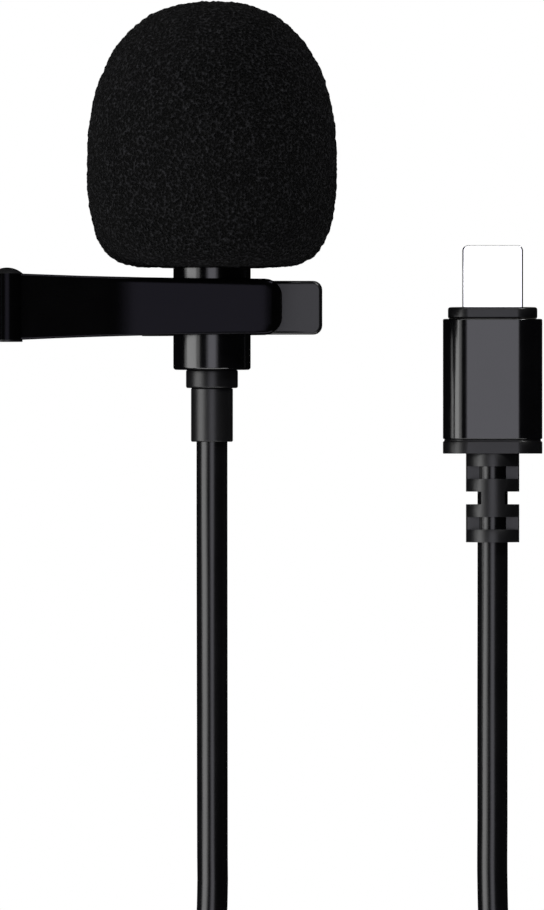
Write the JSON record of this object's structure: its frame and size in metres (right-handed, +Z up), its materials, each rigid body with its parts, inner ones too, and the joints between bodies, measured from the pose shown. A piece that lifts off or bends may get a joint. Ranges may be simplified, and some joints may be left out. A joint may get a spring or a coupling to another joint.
{
  "type": "lavalier microphone",
  "caption": "Black clip-on lavalier microphone: foam windscreen, slim body in a sprung ring clip, thin coiled lead and a flat metal plug.",
  "frame": {"origin": "on the table, under the middle of the box round the microphone, its clip and its windscreen", "axes": "+Z up from the table; +Y the way the microphone points, towards the tip of the windscreen; +X from the clip's levers towards the jaw's tip and the plug"},
  "size_m": [0.0806, 0.157, 0.0276],
  "materials": {
    "open_cell_foam": "matte open-cell foam",
    "anodised_body": "glossy black anodised",
    "bare_steel": "drawn, unplated",
    "felt": "pressed felt",
    "rubber_black": "matte moulded",
    "capsule_aluminium": "drawn, plain",
    "polymer_film": "metallised film on a ring",
    "white_plastic": "moulded natural plastic",
    "gold_plate": "gold plated",
    "circuit_board": "solder resist",
    "chip_plastic": "moulded, fine matt",
    "wire_insulation": "extruded insulation",
    "satin_black_plastic": "satin moulded",
    "boot_rubber": "satin moulded",
    "clip_plastic": "satin moulded, fine texture",
    "pin_metal": "blackened rivet",
    "cord_jacket": "semi-gloss extruded jacket",
    "hook_and_loop": "woven hook-and-loop strap",
    "polished_tab": "polished plated steel"
  },
  "bodies": {
    "microphone": {"mic_body": "anodised_body", "grille_cap": "anodised_body", "grille_mesh": "bare_steel", "dust_felt": "felt", "capsule_gasket": "rubber_black", "capsule_can": "capsule_aluminium", "diaphragm": "polymer_film", "spacer_washer": "white_plastic", "backplate": "gold_plate", "backplate_holder": "white_plastic", "gate_ring": "gold_plate", "capsule_board": "circuit_board", "capsule_fet": "chip_plastic", "mic_wires": "wire_insulation", "cord_crimp": "bare_steel", "mic_collar": "satin_black_plastic", "mic_boot": "boot_rubber", "cord_mic_end": "cord_jacket", "cord_coil": "cord_jacket", "cord_tie": "hook_and_loop", "cord_plug_end": "cord_jacket", "plug_tab": "polished_tab", "contact_carrier": "chip_plastic", "plug_contacts": "gold_plate", "plug_board": "circuit_board", "plug_chips": "chip_plastic", "plug_frame": "white_plastic", "plug_wires": "wire_insulation", "plug_crimp": "bare_steel", "plug_collar": "satin_black_plastic", "plug_barrel": "anodised_body", "plug_rear_ring": "satin_black_plastic", "plug_boot": "boot_rubber"},
    "windscreen": {"foam_windscreen": "open_cell_foam"},
    "sleeve": {"ring_sleeve": "rubber_black"},
    "clip_front": {"clip_front_arm": "clip_plastic", "clip_hinge_pin": "pin_metal", "clip_spring": "bare_steel"},
    "clip_rear": {"clip_rear_arm": "clip_plastic"}
  },
  "joints": [
    {"name": "windscreen_pull", "type": "slide", "parent": "microphone", "child": "windscreen", "axis": [0, 1, 0], "range_m": [0, 0.012]},
    {"name": "sleeve_slide", "type": "slide", "parent": "microphone", "child": "sleeve", "axis": [0, 1, 0], "range_m": [-0.0035, 0.0008]},
    {"name": "clip_swivel", "type": "hinge", "parent": "sleeve", "child": "clip_front", "pos_m": [0.012, -0.0094, 0.0138], "axis": [0, 1, 0], "range_deg": [0, 180]},
    {"name": "jaw_open", "type": "hinge", "parent": "clip_front", "child": "clip_rear", "pos_m": [-0.01045, -0.0094, 0.01623], "axis": [0, 1, 0], "range_deg": [0, 25], "stiffness_Nm_per_rad": 0.02, "springref_deg": -68.75, "deforming": ["clip_spring"]}
  ]
}
